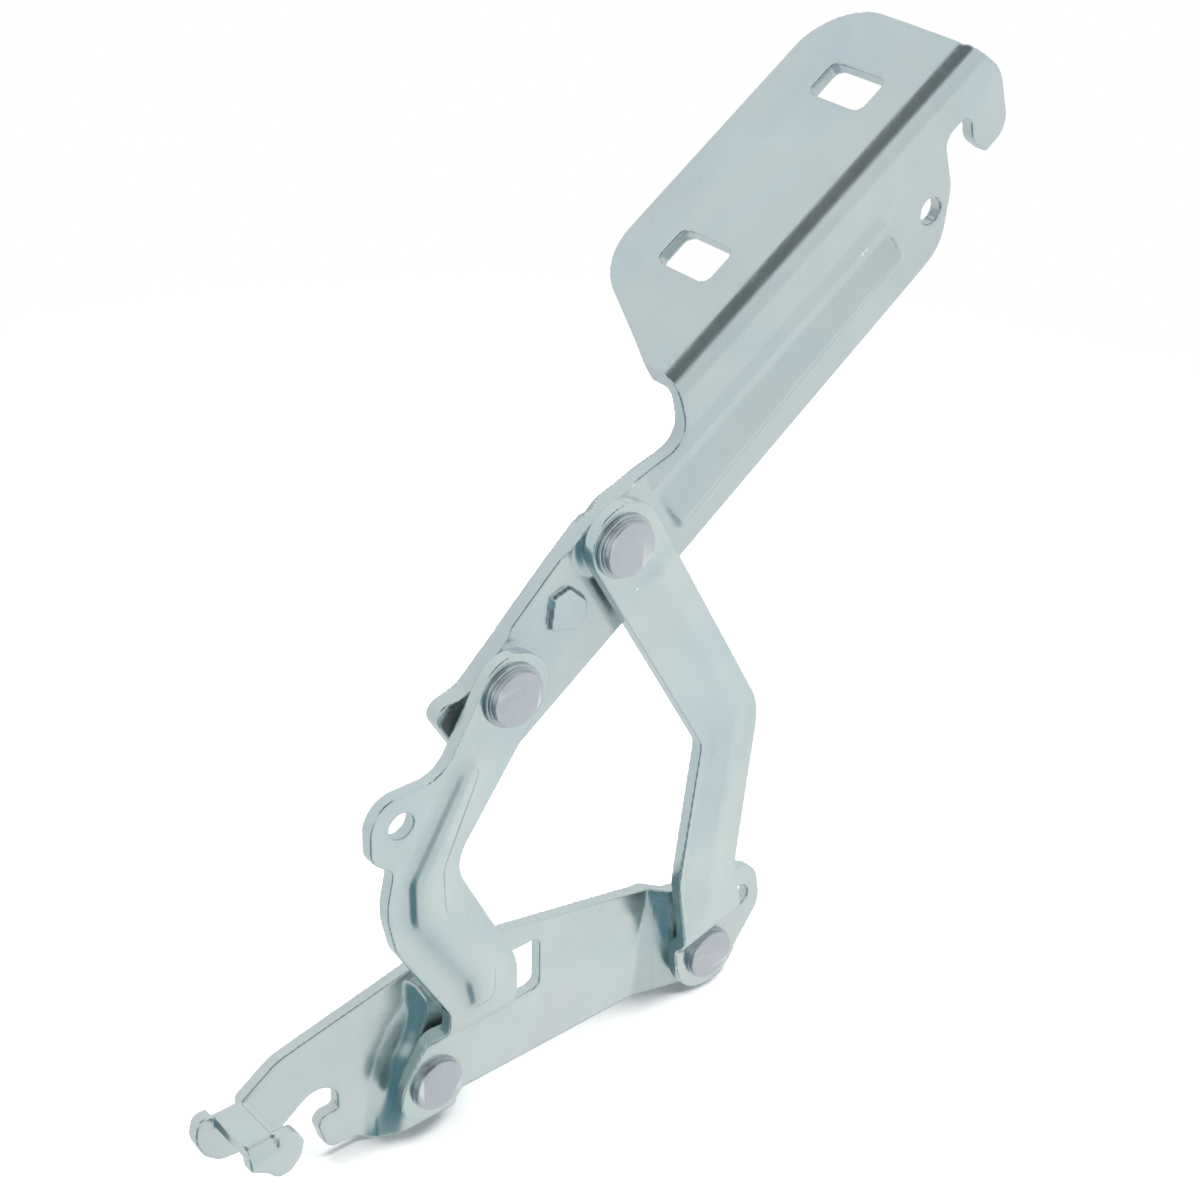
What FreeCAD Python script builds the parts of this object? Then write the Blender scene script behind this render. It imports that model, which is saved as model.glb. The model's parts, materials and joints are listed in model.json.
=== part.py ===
"""Bonnet hinge of a car: two cranked links carry a flanged arm on a base bracket.

The origin is the centre of the base's bolt slot, on the face that seats on the body.
X runs along the base, Z up, and the links lie on the -Y side. All lengths are in
millimetres and all angles in degrees. The hinge is modelled fully open.
"""
import FreeCAD
import Part
import math
import os

V = FreeCAD.Vector

SIZES = {
    # Pivots: C and D on the base, A and B on the arm
    "pivot_c_x": -39.0,
    "pivot_c_z": -14.5,
    "pivot_d_x": 65.6,
    "pivot_d_z": -20.2,
    "long_link_pivots": 169.6,
    "short_link_pivots": 128.35,
    "arm_pivot_run": 49.0,
    "arm_pivot_drop": 5.6,
    "long_link_lean": 14.96,
    # Sheet thicknesses and the steps pressed into them
    "base_back": 0.0,
    "base_plate": 4.0,
    "base_step": 4.5,
    "link_plate": 4.0,
    "link_step": 5.5,
    "link_step_run": 5.0,
    "arm_plate": 4.0,
    "arm_step": 1.5,
    "bead_height": 2.0,
    "bend_inside": 1.5,
    # Rivets, bushes and washers
    "head_radius": 8.5,
    "upper_head": 2.4,
    "lower_head": 2.1,
    "head_rim": 0.8,
    "shank_radius": 6.0,
    "tenon_radius": 5.0,
    "tail_radius": 7.5,
    "tail_height": 2.0,
    "press_gap": 0.04,
    "running_gap": 0.06,
    "bush_wall": 1.0,
    "bush_flange": 1.0,
    "bush_flange_radius": 9.8,
    "washer_plate": 1.0,
    "washer_radius": 9.3,
    "free_neck_radius": 3.0,
    "free_room": 0.5,
    "free_washer_radius": 7.5,
    "free_tail_radius": 6.0,
    "free_gap": 0.3,
    # Travel: the long link closes by a turn, the others follow by ratios
    "closing_turn": 29.3,
    "arm_ratio": 2.33,
    "short_ratio": 1.389,
    # Lugs and holes
    "link_lug": 12.2,
    "ear_hole_radius": 4.0,
    # Base bracket
    "base_bottom": -32.5,
    "base_slot_wide": 12.5,
    "base_slot_tall": 19.0,
    "boss_half_width": 20.5,
    "boss_top": 34.0,
    "boss_slope_run": 3.5,
    "end_step_run": 5.0,
    "tip_shelf_start": -66.7,
    "tip_shelf_end": -57.8,
    "tip_shelf_top": 18.8,
    "tip_ear_back": 18.0,
    "tip_bend_outside": 5.0,
    # Links
    "link_step_start": 9.5,
    "short_step_start": 15.0,
    "short_step_tilt": 10.42,
    "long_elbow": 86.0,
    # Arm
    "flange_top": 19.7,
    "flange_edge": 41.3,
    "arm_bend_outside": 6.5,
    "arm_bottom": 28.8,
    "arm_boss_radius": 17.0,
    "arm_boss_slope_run": 3.0,
    "swage_top": 4.0,
    "swage_crest": -10.0,
    "swage_foot": -13.5,
    "swage_start": 10.0,
    "swage_end": 117.0,
    "flange_slot_wide": 12.5,
    "flange_slot_tall": 20.0,
    "flange_slot_out": 14.2,
    "near_slot": 75.3,
    "slot_pitch": 65.8,
    "slot_corner": 3.0,
}

# Depths are measured from the body side towards the viewer, along -Y
DERIVED = {
    "base_raised_front": "=base_plate + base_step",
    "lug_back": "=base_raised_front + bush_flange",
    "lug_front": "=lug_back + link_plate",
    "link_back": "=lug_back + link_step",
    "link_front": "=link_back + link_plate",
    "arm_raised_front": "=link_back - bush_flange",
    "arm_raised_back": "=arm_raised_front - arm_plate",
    "arm_front": "=arm_raised_front - arm_step",
    "arm_back": "=arm_front - arm_plate",
    "tip_ear_front": "=tip_ear_back + base_plate",
    "washer_front": "=link_front + washer_plate",
    "bush_radius": "=shank_radius + running_gap + bush_wall",
    "bush_bore": "=shank_radius + running_gap",
    "bush_seat": "=bush_radius + press_gap",
    "tenon_hole": "=tenon_radius + press_gap",
    "pivot_a_x": "=pivot_d_x - long_link_pivots * sin(long_link_lean)",
    "pivot_a_z": "=pivot_d_z + long_link_pivots * cos(long_link_lean)",
    "reach_c_a": "=hypot(pivot_a_x - pivot_c_x; pivot_a_z - pivot_c_z)",
    "lean_c_a": "=atan2(pivot_a_x - pivot_c_x; pivot_a_z - pivot_c_z)",
    "span_a_b": "=hypot(arm_pivot_run; arm_pivot_drop)",
    "cos_at_c": "=(short_link_pivots^2 + reach_c_a^2 - span_a_b^2) / (2 * short_link_pivots * reach_c_a)",
    "short_link_lean": "=lean_c_a - acos(cos_at_c)",
    "pivot_b_x": "=pivot_c_x + short_link_pivots * sin(short_link_lean)",
    "pivot_b_z": "=pivot_c_z + short_link_pivots * cos(short_link_lean)",
    "arm_tilt": "=atan2(pivot_a_z - pivot_b_z; pivot_a_x - pivot_b_x) - atan2(arm_pivot_drop; arm_pivot_run)",
}


def fill_sheet(doc):
    """Writes every size into the spreadsheet under its own name."""
    sheet = doc.addObject("Spreadsheet::Sheet", "Sizes")
    for row, (name, value) in enumerate({**SIZES, **DERIVED}.items(), start=1):
        sheet.set(f"A{row}", name)
        sheet.set(f"B{row}", str(value))
        sheet.setAlias(f"B{row}", name)
    doc.recompute()
    return sheet


def size(name):
    """Reads one size from the spreadsheet as a plain number."""
    value = DOC.Sizes.get(name)
    return float(getattr(value, "Value", value))


def pivot_point(name):
    """Gives the place of a pivot in the XZ plane."""
    return V(size(f"pivot_{name}_x"), 0, size(f"pivot_{name}_z"))


def new_body(name, pivot=None, tilt=0.0):
    """Starts a body whose own origin lies on a pivot, turned about Y."""
    body = DOC.addObject("PartDesign::Body", name)
    body.Label = name
    body.Placement = FreeCAD.Placement(V(0, 0, 0), FreeCAD.Rotation(V(0, 1, 0), tilt))
    if pivot:
        body.setExpression("Placement.Base.x", f"Sizes.pivot_{pivot}_x")
        body.setExpression("Placement.Base.z", f"Sizes.pivot_{pivot}_z")
    return body


def new_sketch(body, name, plane, depth=None, offset=None):
    """Adds a sketch on one of the body's planes, at a named depth or an offset."""
    sketch = body.newObject("Sketcher::SketchObject", name)
    support = [f for f in body.Origin.OriginFeatures if f.Role == plane + "_Plane"]
    sketch.AttachmentSupport = [(support[0], "")]
    sketch.MapMode = "FlatFace"
    if offset:
        sketch.AttachmentOffset = offset
    if depth:
        sketch.setExpression("AttachmentOffset.Base.z", f"Sizes.{depth}")
    return sketch


def outline(sketch, corners):
    """Draws a closed outline through (x, y, radius) corners with tangent arcs."""
    points = [V(x, y, 0) for x, y, _ in corners]
    count = len(points)
    legs = []
    runs = []
    for i, here in enumerate(points):
        back = (points[i - 1] - here).normalize()
        ahead = (points[(i + 1) % count] - here).normalize()
        half = back.getAngle(ahead) / 2
        legs.append((back, ahead, half))
        runs.append(corners[i][2] / math.tan(half))
    fits = []
    for i in range(count):
        stretch = (points[(i + 1) % count] - points[i]).Length
        fits.append(min(1.0, 0.98 * stretch / max(runs[i] + runs[(i + 1) % count], 1e-9)))
    stops = []
    for i, here in enumerate(points):
        back, ahead, half = legs[i]
        run = runs[i] * min(fits[i - 1], fits[i])
        stops.append((here + back * run, here + ahead * run))
        if run < 0.01:
            continue
        radius = run * math.tan(half)
        centre = here + (back + ahead).normalize() * (radius / math.sin(half))
        angles = [math.atan2(p.y - centre.y, p.x - centre.x) for p in stops[-1]]
        if (back.x * ahead.y - back.y * ahead.x) > 0:
            angles.reverse()
        circle = Part.Circle(centre, V(0, 0, 1), radius)
        sketch.addGeometry(Part.ArcOfCircle(circle, angles[0], angles[1]), False)
    for i in range(count):
        start = stops[i][1]
        end = stops[(i + 1) % count][0]
        sketch.addGeometry(Part.LineSegment(start, end), False)


def frame(sketch, corners):
    """Draws an outline inside a rectangle, so that a cut leaves the inside standing."""
    xs = [c[0] for c in corners]
    ys = [c[1] for c in corners]
    margin = 60
    low = (min(xs) - margin, min(ys) - margin)
    high = (max(xs) + margin, max(ys) + margin)
    outline(sketch, corners)
    outline(sketch, [(low[0], low[1], 0), (high[0], low[1], 0), (high[0], high[1], 0), (low[0], high[1], 0)])


def circles(sketch, *holes):
    """Adds circles given as (x, y, name of the radius)."""
    for x, y, radius in holes:
        sketch.addGeometry(Part.Circle(V(x, y, 0), V(0, 0, 1), size(radius)), False)


def extrude(body, kind, name, sketch, length=None, reach=None, slope=0.0, both=False, back=False):
    """Adds a Pad or Pocket of a named length, a plain reach, or right through."""
    feature = body.newObject("PartDesign::" + kind, name)
    feature.Profile = sketch
    feature.Midplane = both
    feature.Reversed = back
    if length:
        feature.setExpression("Length", f"Sizes.{length}")
    elif reach:
        feature.Length = reach
    else:
        feature.Type = "ThroughAll"
    if slope:
        feature.TaperAngle = -slope
    DOC.recompute()
    body.Tip = feature
    return feature


def bend_shift(plate, step, run):
    """Gives how far the bends move along the sheet between its two faces."""
    return plate * math.tan(math.atan2(step, run) / 2)


def pocket_through(body, name, plane, shape, corners):
    """Cuts a frame or an opening through the whole body, both ways."""
    sketch = new_sketch(body, name + "_sketch", plane)
    shape(sketch, corners)
    return extrude(body, "Pocket", name, sketch, both=True)


def drill(body, name, *holes):
    """Cuts round holes through the body along Y."""
    sketch = new_sketch(body, name + "_sketch", "XZ")
    circles(sketch, *holes)
    return extrude(body, "Pocket", name, sketch, both=True)


def slot_corners(x, y, wide, tall):
    """Gives the four corners of a slot with rounded ends, centred on a point."""
    r = size("slot_corner")
    return [
        (x - wide / 2, y - tall / 2, r),
        (x + wide / 2, y - tall / 2, r),
        (x + wide / 2, y + tall / 2, r),
        (x - wide / 2, y + tall / 2, r),
    ]


def emboss(body, name, corners, front, back, height, run, plate):
    """Presses a raised shape forward: a sloped pad in front and its hollow behind."""
    slope = math.degrees(math.atan2(run, size(height)))
    raised = new_sketch(body, name + "_sketch", "XZ", depth=front)
    outline(raised, corners)
    extrude(body, "Pad", name, raised, length=height, slope=slope)
    shift = bend_shift(plate, size(height), run)
    hollow = new_sketch(body, name + "_hollow_sketch", "XZ", depth=back)
    outline(hollow, inset(corners, shift, run))
    extrude(body, "Pocket", name + "_hollow", hollow, length=height, slope=slope, back=True)


def inset(corners, shift, least):
    """Moves every side of an outline inwards; corners tighter than the least go sharp."""
    area = 0.0
    for i, (x, y, _) in enumerate(corners):
        area += corners[i - 1][0] * y - x * corners[i - 1][1]
    turn = 1 if area > 0 else -1
    moved = []
    for i, (x, y, r) in enumerate(corners):
        before = corners[i - 1]
        after = corners[(i + 1) % len(corners)]
        a = V(x - before[0], y - before[1], 0).normalize()
        b = V(after[0] - x, after[1] - y, 0).normalize()
        normal_a = V(-a.y, a.x, 0) * turn
        normal_b = V(-b.y, b.x, 0) * turn
        way = (normal_a + normal_b).normalize()
        move = way * (shift / way.dot(normal_a))
        convex = (a.x * b.y - a.y * b.x) * turn > 0
        radius = r - shift if convex else r + shift
        if radius <= least:
            radius = 0
        moved.append((x + move.x, y + move.y, radius))
    return moved


def link_blank(body, start, bottom, top, wide, tilt=0.0):
    """Pads the side profile of a link, with the step between its lug and its body."""
    inside = size("bend_inside")
    outside = inside + size("link_plate")
    end = start + size("link_step_run")
    shift = bend_shift(size("link_plate"), size("link_step"), size("link_step_run"))
    turned = FreeCAD.Placement(V(0, 0, 0), FreeCAD.Rotation(V(1, 0, 0), -tilt))
    sketch = new_sketch(body, "side_sketch", "YZ", offset=turned)
    outline(sketch, [
        (-size("lug_front"), bottom, 0),
        (-size("lug_front"), start, inside),
        (-size("link_front"), end, outside),
        (-size("link_front"), top, 0),
        (-size("link_back"), top, 0),
        (-size("link_back"), end + shift, inside),
        (-size("lug_back"), start + shift, outside),
        (-size("lug_back"), bottom, 0),
    ])
    extrude(body, "Pad", "side", sketch, reach=wide, both=True)


def long_link():
    """Front link from base pivot D up to arm pivot A, cranked forward at its middle."""
    body = new_body("long_link", "d", -size("long_link_lean"))
    top = size("long_link_pivots")
    elbow = size("long_elbow")
    lug = size("link_lug")
    link_blank(body, size("link_step_start"), -30, top + 40, 120)
    emboss(body, "bead", [
        (-9.2, 17.5, 3.0),
        (-6.6, 40.5, 30),
        (14.6, elbow, 8),
        (-3.4, top - 15.5, 6),
        (9.8, top - 12.0, 5),
        (24.4, elbow + 2.6, 18),
        (2.4, elbow - 52, 30),
        (-3.6, 17.5, 2.5),
    ], "link_front", "link_back", "bead_height", 2.0, size("link_plate"))
    pocket_through(body, "edge", "XZ", frame, [
        (-lug - 1.4, -lug + 0.8, lug),
        (-8.0, elbow - 45, 30),
        (10.7, elbow + 0.4, 6),
        (-lug - 0.9, top + 8.5, lug - 0.8),
        (lug - 2.6, top + 14.4, lug - 0.8),
        (33.9, elbow, 22),
        (13.5, elbow - 52.6, 30),
        (lug - 0.8, -lug - 1.4, lug),
    ])
    drill(body, "bores", (0, 0, "bush_seat"), (0, top, "bush_seat"))
    return body


def from_upright(x, z, r):
    """Turns a corner measured upright from pivot C into the short link's own frame."""
    lean = math.radians(size("short_step_tilt"))
    return (x * math.cos(lean) - z * math.sin(lean), x * math.sin(lean) + z * math.cos(lean), r)


def short_link():
    """Rear link from base pivot C up to arm pivot B, with an ear at its elbow."""
    body = new_body("short_link", "c", size("short_link_lean"))
    top = size("short_link_pivots")
    lug = size("link_lug")
    tilt = size("short_step_tilt")
    link_blank(body, size("short_step_start"), -30, top + 40, 140, tilt)
    emboss(body, "bead", [
        from_upright(13.2, 108.5, 5),
        from_upright(7.2, 111.5, 5),
        from_upright(-11.6, 80.3, 8),
        from_upright(-11.4, 66.3, 12),
        from_upright(6.2, 37.3, 8),
        from_upright(8.6, 26.4, 3),
        from_upright(16.6, 26.4, 3),
        from_upright(17.6, 37.3, 8),
        from_upright(0.6, 66.3, 10),
        from_upright(0.2, 80.3, 10),
    ], "link_front", "link_back", "bead_height", 1.5, size("link_plate"))
    pocket_through(body, "edge", "XZ", frame, [
        from_upright(21.1, 143.5, lug),
        from_upright(0.2, 109.2, 10),
        from_upright(-22.7, 109.4, 9.5),
        from_upright(-23.2, 92, 7),
        from_upright(-16, 86.3, 4),
        from_upright(-19, 73, 25),
        from_upright(-16, 59, 15),
        from_upright(1.6, 28, 6),
        from_upright(1.2, 20.5, 2),
        from_upright(-3.5, 14.5, 3),
        from_upright(-12.3, 0, 14),
        from_upright(-11, -12, 10),
        from_upright(11.5, -12, 11),
        from_upright(11.5, 12, 6),
        from_upright(25, 21, 5),
        from_upright(25.2, 36, 14),
        from_upright(3.6, 79.4, 12),
        from_upright(40, 128.5, lug),
    ])
    ear = from_upright(-13.1, 99.8, 0)
    drill(body, "bores", (0, 0, "bush_seat"), (0, top, "bush_seat"), (ear[0], ear[1], "ear_hole_radius"))
    return body


def free_path(samples=25):
    """Gives where rivet B runs in the arm's own frame as the hinge closes."""
    path = []
    for i in range(samples):
        turn = size("closing_turn") * i / (samples - 1)
        front_link = FreeCAD.Rotation(V(0, -1, 0), turn)
        rear_link = FreeCAD.Rotation(V(0, -1, 0), turn * size("short_ratio"))
        arm = FreeCAD.Rotation(V(0, 1, 0), turn * (size("arm_ratio") - 1) - size("arm_tilt"))
        a = pivot_point("d") + front_link.multVec(pivot_point("a") - pivot_point("d"))
        b = pivot_point("c") + rear_link.multVec(pivot_point("b") - pivot_point("c"))
        place = arm.inverted().multVec(b - a)
        path.append((place.x, place.z, 0))
    return path


def free_hole():
    """Gives the hole that leaves rivet B's neck room along its whole path."""
    path = free_path()
    room = size("free_neck_radius") + size("free_room")
    return inset([path[0], max(path), path[-1]], -room, 0)


def hood_arm():
    """Arm that carries the bonnet: an upright web with a wide flange folded back."""
    body = new_body("hood_arm", "a", -size("arm_tilt"))
    front = size("arm_front")
    back = size("arm_back")
    top = size("flange_top")
    plate = size("arm_plate")
    bottom = size("arm_bottom")
    edge = size("flange_edge")
    fold = size("arm_bend_outside")
    start = FreeCAD.Placement(V(0, 0, -90), FreeCAD.Rotation())
    sketch = new_sketch(body, "fold_sketch", "YZ", offset=start)
    outline(sketch, [
        (-front, -bottom - 20, 0),
        (-front, top, fold),
        (edge + 20, top, 0),
        (edge + 20, top - plate, 0),
        (-back, top - plate, fold - plate),
        (-back, -bottom - 20, 0),
    ])
    extrude(body, "Pad", "fold", sketch, reach=280)
    begin = FreeCAD.Placement(V(0, 0, size("swage_start")), FreeCAD.Rotation())
    length = size("swage_end") - size("swage_start")
    raised = size("arm_raised_front")
    hollow = size("arm_raised_back")
    sketch = new_sketch(body, "swage_sketch", "YZ", offset=begin)
    outline(sketch, [(-front, size("swage_top"), 0), (-raised, size("swage_crest"), 0), (-front, size("swage_foot"), 0)])
    extrude(body, "Pad", "swage", sketch, reach=length)
    sketch = new_sketch(body, "swage_hollow_sketch", "YZ", offset=begin)
    outline(sketch, [(-back, size("swage_top"), 0), (-hollow, size("swage_crest"), 0), (-back, size("swage_foot"), 0)])
    extrude(body, "Pocket", "swage_hollow", sketch, reach=length, back=True)
    radius = size("arm_boss_radius")
    run = size("arm_boss_slope_run")
    rear = (-size("arm_pivot_run"), -size("arm_pivot_drop"))
    slope = math.degrees(math.atan2(run, size("arm_step")))
    shift = bend_shift(plate, size("arm_step"), run)
    sketch = new_sketch(body, "bosses_sketch", "XZ", depth="arm_front")
    for x, z in ((0, 0), rear):
        sketch.addGeometry(Part.Circle(V(x, z, 0), V(0, 0, 1), radius), False)
    extrude(body, "Pad", "bosses", sketch, length="arm_step", slope=slope)
    sketch = new_sketch(body, "boss_hollows_sketch", "XZ", depth="arm_back")
    for x, z in ((0, 0), rear):
        sketch.addGeometry(Part.Circle(V(x, z, 0), V(0, 0, 1), radius - shift), False)
    extrude(body, "Pocket", "boss_hollows", sketch, length="arm_step", slope=slope, back=True)
    pocket_through(body, "web_edge", "XZ", frame, [
        (-70, -bottom, 12),
        (-68, 4.6, 4),
        (-56, 1.2, 10),
        (0, 9.8, 30),
        (34.5, 1.0, 8),
        (41.5, top + 4, 0),
        (165.5, top + 4, 0),
        (172, 6, 12),
        (166.5, -12, 7),
        (156.4, -12.2, 1.2),
        (153.8, -5, 6),
        (157.5, 3.6, 3),
        (146, 3.6, 5),
        (141.5, -11, 10),
        (130, -24.5, 14),
        (14.6, -27.5, 40),
    ])
    far = 168.0
    pocket_through(body, "flange_edge", "XY", outline, [
        (20, -back + 0.05, 0),
        (35.2, -back + 0.05, 0),
        (45.5, 10, 30),
        (62, edge, 22),
        (far, edge, 20),
        (far - 1.5, -back + 0.05, 0),
        (far + 40, -back + 0.05, 0),
        (far + 40, edge + 40, 0),
        (20, edge + 40, 0),
    ])
    near = size("near_slot")
    for index, along in enumerate((near, near + size("slot_pitch"))):
        corners = slot_corners(along, size("flange_slot_out"), size("flange_slot_wide"), size("flange_slot_tall"))
        pocket_through(body, f"flange_slot_{index + 1}", "XY", outline, corners)
    sketch = new_sketch(body, "nub_sketch", "XZ", depth="arm_front")
    outline(sketch, [
        (-28.9, -6.4, 1),
        (-22.6, 0.7, 1),
        (-17.3, -1.1, 1),
        (-15.7, -8.8, 1),
        (-18.4, -13, 1),
        (-22.8, -14, 1),
    ])
    extrude(body, "Pad", "nub", sketch, length="arm_step")
    pocket_through(body, "free_hole", "XZ", outline, free_hole())
    drill(body, "bores", (0, 0, "tenon_hole"), (132, -11.3, "ear_hole_radius"))
    return body


def tip_hook(body, cx, cz):
    """Folds the left tip forward over a shelf and down into a small ear."""
    start = cx + size("tip_shelf_start")
    end = cx + size("tip_shelf_end")
    top = cz + size("tip_shelf_top")
    plate = size("base_plate")
    fold = size("tip_bend_outside")
    lap = top - fold - 0.5
    begin = FreeCAD.Placement(V(0, 0, start), FreeCAD.Rotation())
    sketch = new_sketch(body, "shelf_sketch", "YZ", offset=begin)
    outline(sketch, [
        (0, lap, 0),
        (0, top, fold),
        (-size("tip_ear_front"), top, fold),
        (-size("tip_ear_front"), lap, 0),
        (-size("tip_ear_back"), lap, 0),
        (-size("tip_ear_back"), top - plate, fold - plate),
        (-plate, top - plate, fold - plate),
        (-plate, lap, 0),
    ])
    extrude(body, "Pad", "shelf", sketch, reach=end - start)
    sketch = new_sketch(body, "tip_ear_sketch", "XZ", depth="tip_ear_back")
    outline(sketch, [
        (start, lap, 0),
        (end, lap, 0),
        (end, top, 0),
        (end + 5.8, top - 0.3, 3),
        (end + 8, top - 5, 3),
        (end + 6.8, top - 9.8, 3),
        (end + 3.4, top - 13.8, 4),
        (end - 0.7, top - 13.6, 4),
        (start + 4.7, top - 9.8, 6),
        (start, top - 6.8, 1),
    ])
    extrude(body, "Pad", "tip_ear", sketch, length="base_plate")


def base_bracket():
    """Base plate bolted to the body, with raised seats for the two lower rivets."""
    body = new_body("base_bracket")
    plate = size("base_plate")
    step = size("base_step")
    cx = size("pivot_c_x")
    cz = size("pivot_c_z")
    dx = size("pivot_d_x")
    dz = size("pivot_d_z")
    bottom = size("base_bottom")
    inside = size("bend_inside")
    outside = inside + plate
    end_run = size("end_step_run")
    crease = dx - 20.6
    shift = bend_shift(plate, step, end_run)
    sketch = new_sketch(body, "plate_sketch", "XY")
    outline(sketch, [
        (cx - 90, -plate, 0),
        (crease, -plate, inside),
        (crease + end_run, -plate - step, outside),
        (dx + 60, -plate - step, 0),
        (dx + 60, -step, 0),
        (crease + end_run + shift, -step, inside),
        (crease + shift, 0, outside),
        (cx - 90, 0, 0),
    ])
    extrude(body, "Pad", "plate", sketch, reach=160, both=True)
    half = size("boss_half_width")
    high = cz + size("boss_top")
    tip_start = cx + size("tip_shelf_start")
    tip_end = cx + size("tip_shelf_end")
    tip_top = cz + size("tip_shelf_top")
    tip_lap = tip_top - size("tip_bend_outside") - 0.5
    emboss(body, "seat", [
        (cx - half, bottom - 20, 0),
        (cx + half, bottom - 20, 0),
        (cx + half, high, 12),
        (cx - half + 14.5, high, 4),
        (cx - half + 3.5, cz + 4, 40),
    ], "base_plate", "base_back", "base_step", size("boss_slope_run"), plate)
    pocket_through(body, "edge", "XZ", frame, [
        (tip_end, tip_lap, 0),
        (tip_end, tip_top, 1.5),
        (cx - 46, cz + 26.5, 12),
        (cx + 8, cz + 37.8, 60),
        (dx - 17.6, dz + 27.2, 20),
        (dx + 24, dz + 20.8, 9),
        (dx + 26.6, dz + 4.7, 9),
        (dx + 14.4, bottom, 9),
        (cx - 17, bottom, 3),
        (cx - 21, cz - 15.2, 4),
        (cx - 31.5, cz - 14.2, 5),
        (cx - 35, cz - 1.5, 3),
        (cx - 27.3, cz - 1.7, 1.5),
        (cx - 27, cz + 11.2, 7),
        (cx - 37.5, cz + 8.8, 6),
        (cx - 46.2, cz + 2.6, 3),
        (cx - 60, cz + 1.6, 8),
        (cx - 66, cz + 2.5, 5),
        (cx - 70.5, cz + 6.5, 5),
        (cx - 73, cz + 13, 8),
        (cx - 71.5, tip_top + 0.7, 3),
        (tip_start, tip_top + 0.5, 1),
        (tip_start, tip_lap, 0),
    ])
    tip_hook(body, cx, cz)
    corners = slot_corners(0, 0, size("base_slot_wide"), size("base_slot_tall"))
    pocket_through(body, "bolt_slot", "XZ", outline, corners)
    drill(body, "bores", (cx, cz, "tenon_hole"), (dx, dz, "tenon_hole"), (dx + 17.2, dz + 10.2, "ear_hole_radius"))
    return body


def turned(name, pivot, corners):
    """Revolves a (radius, depth) outline about a pivot's axis."""
    body = new_body(name, pivot)
    sketch = new_sketch(body, "profile", "XY")
    outline(sketch, [(r, -d, c) for r, d, c in corners])
    turn = body.newObject("PartDesign::Revolution", "turn")
    turn.Profile = sketch
    turn.ReferenceAxis = (sketch, ["V_Axis"])
    turn.Angle = 360
    DOC.recompute()
    body.Tip = turn
    return body


def rivet(name, pivot, seat, head, shoulder, foot):
    """Shouldered rivet: head in front, tenon through the plate, tail formed behind."""
    top = seat + size(head)
    rim = size("head_rim")
    return turned(name, pivot, [
        (0, top, 0),
        (size("head_radius") - 0.4, top, 0.4),
        (size("head_radius") - 0.4, seat + rim, 0),
        (size("head_radius"), seat + rim, 0),
        (size("head_radius"), seat, 0),
        (size("shank_radius"), seat, 0),
        (size("shank_radius"), shoulder, 0),
        (size("tenon_radius"), shoulder, 0),
        (size("tenon_radius"), foot, 0),
        (size("tail_radius"), foot, 0),
        (size("tail_radius") - 0.5, foot - size("tail_height"), 0.8),
        (0, foot - size("tail_height"), 0),
    ])


def free_rivet(name, pivot):
    """Rivet B: its slim neck leaves room in the arm, and a wide washer backs it."""
    seat = size("washer_front")
    top = seat + size("upper_head")
    rim = size("head_rim")
    flange = size("arm_raised_front")
    washer = size("arm_back") - size("free_gap")
    foot = washer - size("washer_plate")
    return turned(name, pivot, [
        (0, top, 0),
        (size("head_radius") - 0.4, top, 0.4),
        (size("head_radius") - 0.4, seat + rim, 0),
        (size("head_radius"), seat + rim, 0),
        (size("head_radius"), seat, 0),
        (size("shank_radius"), seat, 0),
        (size("shank_radius"), flange, 0),
        (size("free_neck_radius"), flange, 0),
        (size("free_neck_radius"), foot, 0),
        (size("free_tail_radius"), foot, 0),
        (size("free_tail_radius") - 0.5, foot - size("tail_height"), 0.8),
        (0, foot - size("tail_height"), 0),
    ])


def bush(name, pivot, back, front):
    """Flanged bush pressed into a link, its flange turned to the plate behind."""
    inner = size("bush_bore")
    return turned(name, pivot, [
        (inner, back, 0),
        (size("bush_flange_radius"), back, 0),
        (size("bush_flange_radius"), back + size("bush_flange"), 0),
        (size("bush_radius"), back + size("bush_flange"), 0),
        (size("bush_radius"), front, 0),
        (inner, front, 0),
    ])


def washer(name, pivot, bore, radius, back):
    """Flat round washer."""
    front = back + size("washer_plate")
    return turned(name, pivot, [(bore, back, 0), (radius, back, 0), (radius, front, 0), (bore, front, 0)])


def build():
    """Builds every piece and writes each to its own file."""
    link_front = size("link_front")
    lug_front = size("lug_front")
    raised = size("base_raised_front")
    arm_raised = size("arm_raised_front")
    pieces = [
        base_bracket(),
        long_link(),
        short_link(),
        hood_arm(),
        rivet("rivet_a", "a", size("washer_front"), "upper_head", arm_raised, size("arm_raised_back")),
        free_rivet("rivet_b", "b"),
        rivet("rivet_c", "c", lug_front, "lower_head", raised, size("base_step")),
        rivet("rivet_d", "d", lug_front, "lower_head", raised, size("base_step")),
        bush("bush_a", "a", arm_raised, link_front),
        bush("bush_b", "b", arm_raised, link_front),
        bush("bush_c", "c", raised, lug_front),
        bush("bush_d", "d", raised, lug_front),
        washer("washer_a", "a", size("bush_bore"), size("washer_radius"), link_front),
        washer("washer_b", "b", size("bush_bore"), size("washer_radius"), link_front),
        washer(
            "washer_b_rear",
            "b",
            size("free_neck_radius") + size("press_gap"),
            size("free_washer_radius"),
            size("arm_back") - size("free_gap") - size("washer_plate"),
        ),
    ]
    DOC.recompute()
    for piece in pieces:
        for item in piece.Group:
            if "Invalid" in item.State or "Error" in item.State:
                raise RuntimeError(f"{piece.Label}: {item.Name} failed")
        if piece.Shape.isNull() or not piece.Shape.isValid() or len(piece.Shape.Solids) != 1:
            raise RuntimeError(f"{piece.Label} is not one valid solid")
        piece.Shape.exportStep(f"parts/{piece.Label}.step")


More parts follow.
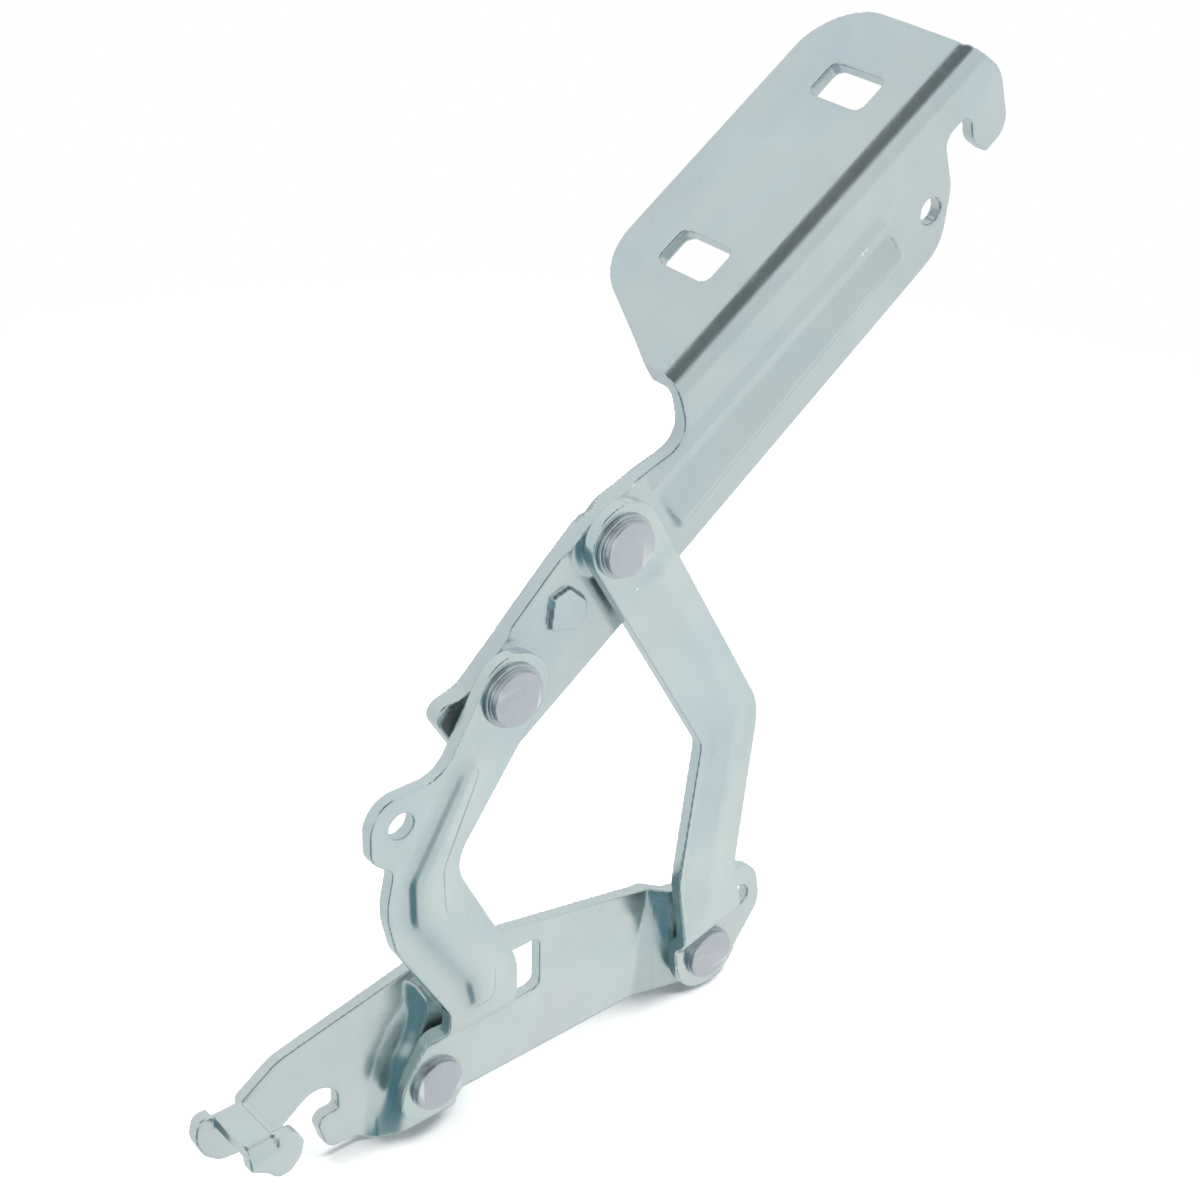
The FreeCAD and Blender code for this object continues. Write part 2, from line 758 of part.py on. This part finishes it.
os.makedirs("parts", exist_ok=True)
DOC = FreeCAD.newDocument("bonnet_hinge")
fill_sheet(DOC)
build()
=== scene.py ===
"""Bonnet hinge: pressed zinc-plated plates on a pale floor under soft studio light.

Lengths are in metres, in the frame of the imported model.
"""
import json
import math

import bpy
import numpy as np
from mathutils import Matrix, Vector
from mathutils.kdtree import KDTree


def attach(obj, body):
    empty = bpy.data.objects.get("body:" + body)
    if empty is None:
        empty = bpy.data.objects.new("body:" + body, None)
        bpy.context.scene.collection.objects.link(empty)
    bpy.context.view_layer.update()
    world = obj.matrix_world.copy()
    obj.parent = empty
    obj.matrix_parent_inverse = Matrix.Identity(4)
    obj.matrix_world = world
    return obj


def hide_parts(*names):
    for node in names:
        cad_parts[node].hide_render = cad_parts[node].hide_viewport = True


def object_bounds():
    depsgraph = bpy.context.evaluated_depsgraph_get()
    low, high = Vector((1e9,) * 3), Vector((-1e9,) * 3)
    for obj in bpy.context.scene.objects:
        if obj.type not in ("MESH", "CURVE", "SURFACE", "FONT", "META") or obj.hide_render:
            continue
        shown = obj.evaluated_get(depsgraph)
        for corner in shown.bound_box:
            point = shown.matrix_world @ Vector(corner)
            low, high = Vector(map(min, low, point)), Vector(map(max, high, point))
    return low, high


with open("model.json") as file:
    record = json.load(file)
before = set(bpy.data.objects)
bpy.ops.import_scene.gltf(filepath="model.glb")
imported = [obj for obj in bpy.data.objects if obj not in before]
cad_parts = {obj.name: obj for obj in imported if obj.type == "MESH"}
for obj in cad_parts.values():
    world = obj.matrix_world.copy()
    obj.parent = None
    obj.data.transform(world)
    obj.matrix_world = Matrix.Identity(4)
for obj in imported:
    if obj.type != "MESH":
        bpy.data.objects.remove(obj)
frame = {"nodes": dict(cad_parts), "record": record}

CAD_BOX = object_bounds()

# Camera, fitted to the photograph
CAMERA_AT = (-0.3315, -0.4254, 0.4509)
CAMERA_RIGHT = (0.769, -0.639, 0.019)
CAMERA_AHEAD = (0.555, 0.653, -0.516)
LENS = 70.27
SENSOR = 36.0

# Floor: how bright it shows to the camera, and where it fades to plain white, in metres
FLOOR_Z = CAD_BOX[0][2]
FLOOR_HALF = 4.0
FLOOR_SHOWN = 1.15
FLOOR_NEAR = 0.30
FLOOR_FAR = 0.60

# Strength of the world where it lights matt surfaces
WORLD_FILL = 0.50

# Area lamps: name, place, size in metres and power in watts
LAMPS = (
    ("front", (0.42, -0.42, 1.45), 0.60, 20.0),
    ("rear", (-0.15, 0.40, 1.50), 0.80, 17.0),
)
LAMP_AIM = (0.0, 0.0, 0.05)

# Fine meshes of the pressed plates, in metres
VOXEL = 0.00045
PRESS_PASSES = {
    "base_bracket": 16,
    "long_link": 50,
    "short_link": 90,
    "hood_arm": 6,
}
WALL_PASSES = 70
RIM_PASSES = 1
FACE_TILT = 0.45
FLANGE_REACH = 0.0095
WELD_REACH = 0.000001
EDGE_WIDTH = 0.0002
EDGE_SEGMENTS = 2
EDGE_ANGLE = 28.0

# Pressed forms of the base plate: millimetres from rivet C's centre; pairs are (z, x)
RIVET_C = (-0.039, 0.0, -0.0145)
PLATE = 4.0
STEP = 4.5
SEAT_LEFT = -24.0
SEAT_RIGHT = 13.5
SEAT_FACET = 0.8
SEAT_RUN = ((-16, 9.0), (-6, 4.0), (2, 2.5))
SEAT_TOP = 33.5
SEAT_TOP_RUN = 7.0
SEAT_CROWN = 0.09
SEAT_FOOT = (
    (-33, -20.5), (-14.9, -19.7), (-5.4, -17.6), (3.4, -16.9),
    (11.2, -14.5), (19.5, -10.0), (25.3, -3.6),
)
SEAT_STEEP = (
    (-16, -17.5), (-6, -11.0), (3, -9.5), (8, -8.0),
    (12, -5.4), (16, -3.6), (22, -2.0),
)
END_START = 60.0
END_CREASE = ((-18.5, 81.7), (21.0, 86.6))
END_FACET = ((-18.5, 97.6), (21.0, 87.0))
END_LEVEL = ((-18.5, 98.8), (-1.3, 95.0), (21.0, 92.2))
END_SLOPE = 0.264

# Arm: millimetres from rivet A's centre, along and across the arm
RIVET_A = (0.02182, 0.0, 0.14365)
ARM_TILT = 33.81
ARM_BACK = 8.5
ARM_EXTRA = 1.4
ARM_THICK = 20.0
ARM_THIN = 45.0
TAIL_RECESS = 8.6
ARM_STEP = 1.5
PIVOT_RUN = 49.0
PIVOT_DROP = 5.6
SEAT_INSIDE = 10.0
SEAT_OUTSIDE = 11.6
NUB = (
    (-28.9, -6.4), (-22.6, 0.7), (-17.3, -1.1),
    (-15.7, -8.8), (-18.4, -13.0), (-22.8, -14.0),
)
NUB_RUN = 0.05
SWAGE_CREST = ((0.0, -19.4), (130.0, -12.4))
SWAGE_TOP = -4.0
SWAGE_DROP = 1.6
SWAGE_HEIGHT = 1.6
SWAGE_START = 18.0
SWAGE_END = 118.0
SWAGE_END_RUN = 3.0
SWAGE_REST = 4.0
SWAGE_ABOVE = 2.0

# Long link: millimetres from rivet D's centre; pairs are (along, across)
RIVET_D = (0.0656, 0.0, -0.0202)
LINK_LEAN = 14.96
LINK_BACK = 15.0
FOLD_START = 17.2
FOLD_LEFT = ((17.0, -10.0), (41.0, -8.0), (86.0, 11.0), (157.0, -6.0))
FOLD_CREST = ((17.0, -1.0), (34.0, 3.5), (88.6, 24.6), (157.6, 9.0))
FOLD_DROP = 4.0
FOLD_HEIGHT = 1.1
FOLD_RISES = (17.0, 24.0)
FOLD_FALLS = (152.0, 160.0)

# What the metal mirrors: the room's colour, then parts of it, each with its direction,
# where it starts and fills, and its colour
ROOM = (0.74, 0.765, 0.775, 1.0)
STUDIO = (
    ((0.72, -0.45, -0.60), 0.84, 0.97, (0.90, 0.91, 0.90)),
    ((-0.62, -0.60, -0.50), 0.68, 0.95, (0.06, 0.18, 0.23)),
    ((-0.30, -0.20, 0.93), 0.74, 0.90, (0.03, 0.045, 0.05)),
)


# Node helpers
def new_material(name):
    """Returns an empty node material, its tree and its output node."""
    material = bpy.data.materials.new(name)
    material.use_nodes = True
    tree = material.node_tree
    tree.nodes.clear()
    return material, tree, tree.nodes.new("ShaderNodeOutputMaterial")


def add(tree, kind, **values):
    """Adds a shader node; plain values set properties, or inputs by name."""
    node = tree.nodes.new("ShaderNode" + kind)
    for key, value in values.items():
        if hasattr(node, key):
            setattr(node, key, value)
        else:
            node.inputs[key.replace("_", " ")].default_value = value
    return node


def join(tree, source, out, target, into):
    """Links one socket to another, each by name or number."""
    tree.links.new(source.outputs[out], target.inputs[into])


def noise(tree, coords, scale, detail=2.0, rough=0.5, distortion=0.0):
    """Adds a noise texture on the given coordinates."""
    node = add(
        tree, "TexNoise", Scale=scale, Detail=detail, Roughness=rough, Distortion=distortion
    )
    join(tree, coords[0], coords[1], node, "Vector")
    return node


def ramp(tree, source, out, stops):
    """Adds a colour ramp with (position, colour) stops."""
    node = add(tree, "ValToRGB")
    elements = node.color_ramp.elements
    for i, (at, colour) in enumerate(stops):
        element = elements[i] if i < 2 else elements.new(at)
        element.position = at
        element.color = (*colour, 1.0)
    join(tree, source, out, node, "Fac")
    return node


def span(tree, source, out, low, high, to_low, to_high, smooth=False):
    """Maps a value from one range to another, clamped."""
    node = add(tree, "MapRange")
    node.interpolation_type = "SMOOTHSTEP" if smooth else "LINEAR"
    node.inputs["From Min"].default_value = low
    node.inputs["From Max"].default_value = high
    node.inputs["To Min"].default_value = to_low
    node.inputs["To Max"].default_value = to_high
    join(tree, source, out, node, "Value")
    return node


def mix_colour(tree, factor, a, b, mode="MIX"):
    """Mixes two colours; each of factor, a and b is a (node, socket) pair or a value."""
    node = add(tree, "Mix")
    node.data_type = "RGBA"
    node.blend_type = mode
    for value, into in ((factor, 0), (a, 6), (b, 7)):
        if isinstance(value, tuple) and hasattr(value[0], "outputs"):
            tree.links.new(value[0].outputs[value[1]], node.inputs[into])
        else:
            node.inputs[into].default_value = value
    return node


# Materials
def zinc(name, light, dark, rough=0.22, grain=0.6, tint=0.5, edge=(0.86, 0.93, 0.93)):
    """Zinc plating: cloudy passivated colour, fine rolled grain, small marks, rims lightened
    as wear and painted highlight, creases darkened as painted shade.
    """
    material, tree, output = new_material(name)
    where = add(tree, "TexCoord")
    coords = (where, "Object")
    cloud = noise(tree, coords, 24.0, 4.0, 0.55, 0.8)
    tone = ramp(tree, cloud, "Fac", [(0.30, dark), (0.72, light)])
    iris = noise(tree, coords, 11.0, 2.0, 0.5, 1.6)
    hue = ramp(tree, iris, "Fac", [
        (0.36, (0.86, 0.95, 1.0)),
        (0.50, (0.96, 1.0, 0.97)),
        (0.66, (1.0, 0.96, 0.95)),
    ])
    tinted = mix_colour(tree, tint, (tone, 0), (hue, 0), "MULTIPLY")
    speck = noise(tree, coords, 700.0, 2.0, 0.6)
    fleck = span(tree, speck, "Fac", 0.50, 0.80, 0.0, 0.10 * grain)
    flecked = mix_colour(tree, (fleck, 0), (tinted, 2), (*edge, 1.0))
    shape = add(tree, "NewGeometry")
    # Convex rims lightened toward the edge colour: edge wear and painted highlight together.
    rim = span(tree, shape, "Pointiness", 0.53, 0.60, 0.0, 0.75)
    wear_and_highlight = mix_colour(tree, (rim, 0), (flecked, 2), (*edge, 1.0))
    # Concave creases darkened toward dark teal: painted shade.
    crease_shade = span(tree, shape, "Pointiness", 0.40, 0.485, 0.40, 0.0)
    shaded = mix_colour(tree, (crease_shade, 0), (wear_and_highlight, 2), (0.22, 0.36, 0.40, 1.0))
    surface = add(tree, "BsdfPrincipled")
    surface.inputs["Metallic"].default_value = 0.90
    join(tree, shaded, 2, surface, "Base Color")
    smear = noise(tree, coords, 55.0, 4.0, 0.6, 0.5)
    gloss = span(tree, smear, "Fac", 0.3, 0.75, rough - 0.07, rough + 0.09)
    join(tree, gloss, 0, surface, "Roughness")
    stretch = add(tree, "Mapping")
    stretch.inputs["Scale"].default_value = (420.0, 420.0, 60.0)
    stretch.inputs["Rotation"].default_value = (0.0, 0.6, 0.0)
    join(tree, where, "Object", stretch, "Vector")
    rolled = noise(tree, (stretch, "Vector"), 3.0, 2.0, 0.5)
    pits = noise(tree, coords, 1100.0, 2.0, 0.55)
    relief = add(tree, "Math", operation="ADD")
    join(tree, rolled, "Fac", relief, 0)
    join(tree, pits, "Fac", relief, 1)
    bump = add(tree, "Bump", Strength=0.07 * grain, Distance=0.0002)
    join(tree, relief, 0, bump, "Height")
    join(tree, bump, 0, surface, "Normal")
    join(tree, surface, 0, output, "Surface")
    return material


def floor_material():
    """Pale matt floor: white to the camera but for its shadow, clear in mirrored light."""
    material, tree, output = new_material("floor")
    where = add(tree, "TexCoord")
    mottle = noise(tree, (where, "Object"), 5.0, 2.0)
    pale = ramp(tree, mottle, "Fac", [(0.3, (0.90, 0.90, 0.905)), (0.7, (0.93, 0.93, 0.93))])
    path = add(tree, "LightPath")
    lift = span(tree, path, "Is Camera Ray", 0.0, 1.0, 1.0, FLOOR_SHOWN)
    shown = add(tree, "VectorMath", operation="SCALE")
    join(tree, pale, 0, shown, 0)
    join(tree, lift, 0, shown, "Scale")
    matt = add(tree, "BsdfDiffuse")
    join(tree, shown, 0, matt, "Color")
    clear = add(tree, "BsdfTransparent")
    mirrored = add(tree, "MixShader")
    join(tree, path, "Is Glossy Ray", mirrored, 0)
    away = add(tree, "VectorMath", operation="LENGTH")
    join(tree, where, "Object", away, 0)
    far = span(tree, away, "Value", FLOOR_NEAR, FLOOR_FAR, 0.0, 1.0, smooth=True)
    seen_far = add(tree, "Math", operation="MULTIPLY")
    join(tree, far, 0, seen_far, 0)
    join(tree, path, "Is Camera Ray", seen_far, 1)
    white = add(tree, "Emission", Strength=1.0)
    faded = add(tree, "MixShader")
    join(tree, seen_far, 0, faded, 0)
    join(tree, matt, 0, faded, 1)
    join(tree, white, 0, faded, 2)
    join(tree, faded, 0, mirrored, 1)
    join(tree, clear, 0, mirrored, 2)
    join(tree, mirrored, 0, output, "Surface")
    return material


# Stage
def build_floor():
    """Adds one large flat floor at the height of the hinge's lowest point."""
    mesh = bpy.data.meshes.new("floor")
    half = FLOOR_HALF
    around = ((-half, -half), (half, -half), (half, half), (-half, half))
    corners = [(x, y, FLOOR_Z) for x, y in around]
    mesh.from_pydata(corners, [], [(0, 1, 2, 3)])
    floor = bpy.data.objects.new("floor", mesh)
    floor.data.materials.append(floor_material())
    bpy.context.scene.collection.objects.link(floor)


def area_light(name, at, aim, size, power):
    """Adds one square white area lamp aimed at a point, unseen in mirrored light."""
    light = bpy.data.lights.new(name, "AREA")
    light.shape = "SQUARE"
    light.size = size
    light.energy = power
    lamp = bpy.data.objects.new(name, light)
    lamp.location = at
    lamp.visible_glossy = False
    lamp.rotation_euler = (Vector(aim) - Vector(at)).to_track_quat("-Z", "Y").to_euler()
    bpy.context.scene.collection.objects.link(lamp)


def toward(tree, where, direction, low, high):
    """Gives how far a world direction lies towards another, from 0 to 1."""
    side = add(tree, "VectorMath", operation="DOT_PRODUCT")
    join(tree, where, "Generated", side, 0)
    side.inputs[1].default_value = Vector(direction).normalized()
    return span(tree, side, "Value", low, high, 0.0, 1.0, smooth=True)


def build_world():
    """White to the camera; to the metal, a pale studio with dim sides that shape the bends."""
    world = bpy.data.worlds.new("studio")
    bpy.context.scene.world = world
    world.use_nodes = True
    tree = world.node_tree
    tree.nodes.clear()
    output = tree.nodes.new("ShaderNodeOutputWorld")
    where = add(tree, "TexCoord")
    room = ROOM
    for direction, low, high, shade in STUDIO:
        part = toward(tree, where, direction, low, high)
        mixed = mix_colour(tree, (part, 0), room, (*shade, 1.0))
        room = (mixed, 2)
    path = add(tree, "LightPath")
    seen = mix_colour(tree, (path, "Is Camera Ray"), room, (1.0, 1.0, 1.0, 1.0))
    background = add(tree, "Background", Strength=1.0)
    soft = span(tree, path, "Is Diffuse Ray", 0.0, 1.0, 1.0, WORLD_FILL)
    join(tree, seen, 2, background, "Color")
    join(tree, soft, 0, background, "Strength")
    join(tree, background, 0, output, "Surface")


def build_camera():
    """Adds the camera at the place fitted to the photograph."""
    data = bpy.data.cameras.new("camera")
    data.lens = LENS
    data.sensor_width = SENSOR
    data.clip_end = 50
    ahead = Vector(CAMERA_AHEAD).normalized()
    right = Vector(CAMERA_RIGHT)
    right = (right - ahead * right.dot(ahead)).normalized()
    up = right.cross(ahead)
    turn = Matrix((right, up, -ahead)).transposed()
    camera = bpy.data.objects.new("camera", data)
    camera.matrix_world = Matrix.Translation(CAMERA_AT) @ turn.to_4x4()
    bpy.context.scene.collection.objects.link(camera)
    bpy.context.scene.camera = camera


# Fine meshes of the pressed plates
def even_mesh(source, name):
    """Gives a solid's shape as one fine even mesh."""
    piece = bpy.data.objects.new(name, source.data.copy())
    bpy.context.scene.collection.objects.link(piece)
    weld = piece.modifiers.new("weld", "WELD")
    weld.merge_threshold = WELD_REACH
    remesh = piece.modifiers.new("even", "REMESH")
    remesh.mode = "VOXEL"
    remesh.voxel_size = VOXEL
    graph = bpy.context.evaluated_depsgraph_get()
    fine = bpy.data.meshes.new_from_object(piece.evaluated_get(graph))
    piece.modifiers.clear()
    piece.data = fine
    return piece


def neighbour_mean(values, pairs, degree, count):
    """Gives each point the mean of its neighbours' values."""
    total = np.zeros(count)
    total += np.bincount(pairs[:, 0], weights=values[pairs[:, 1]], minlength=count)
    total += np.bincount(pairs[:, 1], weights=values[pairs[:, 0]], minlength=count)
    return total / np.maximum(degree, 1)


def degrees(pairs, count):
    """Counts each point's neighbours."""
    return np.bincount(pairs.ravel(), minlength=count)


def soften_sheet(mesh, passes, held=None, press=None):
    """Rounds the pressed forms of a sheet that lies across Y, and keeps its outline."""
    count = len(mesh.vertices)
    points = np.empty(count * 3)
    mesh.vertices.foreach_get("co", points)
    points = points.reshape(-1, 3)
    normals = np.empty(count * 3)
    mesh.vertices.foreach_get("normal", normals)
    across = normals.reshape(-1, 3)[:, 1]
    pairs = np.empty(len(mesh.edges) * 2, dtype=np.int64)
    mesh.edges.foreach_get("vertices", pairs)
    pairs = pairs.reshape(-1, 2)
    side = np.where(across < -FACE_TILT, -1, np.where(across > FACE_TILT, 1, 0))
    if held is not None:
        side[held(points)] = 0
    if press is not None:
        press(points, side)
    alike = pairs[(side[pairs[:, 0]] == side[pairs[:, 1]]) & (side[pairs[:, 0]] != 0)]
    degree = degrees(alike, count)
    moving = (side != 0) & (degree > 0)
    height = points[:, 1].copy()
    for _ in range(passes):
        mean = neighbour_mean(height, alike, degree, count)
        height = np.where(moving, 0.5 * (height + mean), height)
    shift = height - points[:, 1]
    degree = degrees(pairs, count)
    for _ in range(WALL_PASSES):
        mean = neighbour_mean(shift, pairs, degree, count)
        shift = np.where(moving, shift, mean)
    points[:, 1] += shift
    for _ in range(RIM_PASSES):
        for axis in range(3):
            mean = neighbour_mean(points[:, axis], pairs, degree, count)
            points[:, axis] = 0.5 * (points[:, axis] + mean)
    mesh.vertices.foreach_set("co", points.ravel())
    mesh.update()
    mesh.shade_smooth()


def between(value, low, high):
    """Gives how far a value lies from a low to a high one, from 0 to 1."""
    return np.clip((value - low) / (high - low), 0.0, 1.0)


def base_height(x, z):
    """Gives how far the base plate is pressed forward, in millimetres about rivet C."""
    foot = np.interp(z, *zip(*SEAT_FOOT))
    steep = np.interp(z, *zip(*SEAT_STEEP))
    run = np.interp(z, *zip(*SEAT_RUN))
    left = SEAT_FACET * between(x, foot, steep)
    left = left + (STEP - SEAT_FACET) * between(x, steep, steep + run)
    right = STEP * between(-x, -SEAT_RIGHT, -SEAT_RIGHT + SEAT_RUN[-1][1])
    crown = SEAT_TOP - SEAT_CROWN * np.maximum(x, 0.0) ** 2
    upper = STEP * between(-z, -crown, -crown + SEAT_TOP_RUN)
    seat = np.minimum(np.minimum(left, right), upper)
    crease = np.interp(z, *zip(*END_CREASE))
    facet = np.interp(z, *zip(*END_FACET))
    level = np.interp(z, *zip(*END_LEVEL))
    slant = END_SLOPE * np.clip(x - crease, 0.0, facet - crease)
    rise = (STEP - END_SLOPE * (facet - crease)) * between(x, facet, level)
    return np.where(x < END_START, seat, slant + rise)


def press_base(points, side):
    """Presses the seat and the step of the base plate into their slanted facets."""
    origin = np.array(RIVET_C)
    local = (points - origin) * 1000.0
    x = local[:, 0]
    z = local[:, 2]
    y = points[:, 1] * 1000.0
    near = x > SEAT_LEFT
    front = np.flatnonzero(near & (side == -1))
    back = near & (side == 1)
    wall = np.flatnonzero(near & (side == 0))
    height = base_height(x, z)
    tree = KDTree(len(front))
    for i in front:
        tree.insert((x[i], 0.0, z[i]), int(i))
    tree.balance()
    moved = y.copy()
    moved[front] = -(PLATE + height[front])
    moved[back] = -height[back]
    for i in wall:
        old = -y[tree.find((x[i], 0.0, z[i]))[1]] - PLATE
        share = min(max((-y[i] - old) / PLATE, 0.0), 1.0)
        moved[i] = -(height[i] + PLATE * share)
    points[:, 1] = moved / 1000.0


def press_arm(points, side):
    """Thickens the arm's rear end and presses its seats, its nub and the long swage."""
    local = (points - np.array(RIVET_A)) * 1000.0
    tilt = math.radians(ARM_TILT)
    along = local[:, 0] * math.cos(tilt) + local[:, 2] * math.sin(tilt)
    up = local[:, 2] * math.cos(tilt) - local[:, 0] * math.sin(tilt)
    recess = np.hypot(along, up) < TAIL_RECESS
    back = (side == 1) & ~recess
    filled = -ARM_BACK + ARM_EXTRA * between(-along, -ARM_THIN, -ARM_THICK)
    y = points[:, 1] * 1000.0
    y = np.where(back & (along < ARM_THIN), filled, y)
    rear = np.hypot(along + PIVOT_RUN, up + PIVOT_DROP)
    nearest = np.minimum(np.hypot(along, up), rear)
    seat = ARM_STEP * between(-nearest, -SEAT_OUTSIDE, -SEAT_INSIDE)
    inside = np.full(len(y), np.inf)
    for (a, b), (c, d) in zip(NUB, NUB[1:] + NUB[:1]):
        reach = ((along - a) * (b - d) + (up - b) * (c - a)) / math.hypot(c - a, d - b)
        inside = np.minimum(inside, -reach)
    nub = ARM_STEP * between(inside, -NUB_RUN, 0.0)
    plain = (side == -1) & (along < SWAGE_START)
    y = np.where(plain, -ARM_BACK - PLATE - np.maximum(seat, nub), y)
    crest = np.interp(along, *zip(*SWAGE_CREST))
    rise = between(-up, -SWAGE_TOP, -crest) * between(up, crest - SWAGE_DROP, crest)
    rise = SWAGE_HEIGHT * rise * between(-along, -SWAGE_END, -SWAGE_END + SWAGE_END_RUN)
    web = (along > SWAGE_START) & (along < SWAGE_END + SWAGE_REST)
    web = web & (up < SWAGE_TOP + SWAGE_ABOVE)
    y = np.where(web & (side == -1), -ARM_BACK - PLATE - rise, y)
    y = np.where(web & (side == 1), y.clip(-ARM_BACK, None) - rise, y)
    points[:, 1] = y / 1000.0


def press_long_link(points, side):
    """Presses the soft fold that runs along the front link, right of its middle."""
    local = (points - np.array(RIVET_D)) * 1000.0
    lean = math.radians(LINK_LEAN)
    x = local[:, 0] * math.cos(lean) + local[:, 2] * math.sin(lean)
    z = local[:, 2] * math.cos(lean) - local[:, 0] * math.sin(lean)
    left = np.interp(z, *zip(*FOLD_LEFT))
    crest = np.interp(z, *zip(*FOLD_CREST))
    ends = between(z, *FOLD_RISES) * between(-z, -FOLD_FALLS[1], -FOLD_FALLS[0])
    across = between(x, left, crest) * between(-x, -crest - FOLD_DROP, -crest)
    rise = FOLD_HEIGHT * ends * across
    y = points[:, 1] * 1000.0
    body = z > FOLD_START
    y = np.where(body & (side == -1), -LINK_BACK - PLATE - rise, y)
    y = np.where(body & (side == 1), -LINK_BACK - rise, y)
    points[:, 1] = y / 1000.0


def above_web(points):
    """Marks the bent flange of the arm, which the softening leaves as it is."""
    face = next(m for m in frame["record"]["mounts"] if m["name"] == "bonnet_face")
    rise = (points - np.array(face["pos_m"])) @ np.array(face["axis"])
    return rise > -FLANGE_REACH


PRESSES = {"base_bracket": press_base, "hood_arm": press_arm, "long_link": press_long_link}


def pressed(name, body, material):
    """Puts a soft-edged fine plate in the place of a plain one."""
    piece = even_mesh(frame["nodes"][name], name + "_plate")
    held = above_web if name == "hood_arm" else None
    press = PRESSES.get(name)
    soften_sheet(piece.data, PRESS_PASSES[name], held, press)
    piece.data.materials.clear()
    piece.data.materials.append(material)
    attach(piece, body)
    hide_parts(name)


# Dressing the small solids
def soften(node):
    """Joins the split faces of a solid, rounds its edges and smooths its curves."""
    weld = node.modifiers.new("weld", "WELD")
    weld.merge_threshold = WELD_REACH
    bevel = node.modifiers.new("edges", "BEVEL")
    bevel.width = EDGE_WIDTH
    bevel.segments = EDGE_SEGMENTS
    bevel.limit_method = "ANGLE"
    bevel.angle_limit = math.radians(EDGE_ANGLE)
    bevel.use_clamp_overlap = True
    bevel.harden_normals = True
    node.data.shade_smooth()


def dress():
    """Gives every solid its material and its rounded edges."""
    plate = zinc("zinc_plate", (0.66, 0.735, 0.735), (0.60, 0.68, 0.69))
    # The arm's zinc is a darker copy of the plate zinc: painted shade for the arm's darker
    # web.
    arm = zinc("zinc_arm", (0.63, 0.70, 0.71), (0.56, 0.635, 0.655))
    head = zinc(
        "rivet_zinc", (0.58, 0.61, 0.65), (0.52, 0.55, 0.60), rough=0.30, grain=0.8, tint=0.15
    )
    ring = zinc(
        "washer_zinc", (0.50, 0.56, 0.58), (0.36, 0.42, 0.45), rough=0.16, grain=0.5, tint=0.4
    )
    for name in PRESS_PASSES:
        pressed(name, name, arm if name == "hood_arm" else plate)
    for name, node in frame["nodes"].items():
        if name in PRESS_PASSES:
            continue
        node.data.materials.clear()
        node.data.materials.append(head if name.startswith("rivet") else ring)
        soften(node)


def main():
    """Builds the whole scene."""
    scene = bpy.context.scene
    scene.view_settings.view_transform = "Standard"
    build_camera()
    build_floor()
    build_world()
    dress()
    for name, at, size, power in LAMPS:
        area_light(name, at, LAMP_AIM, size, power)


main()
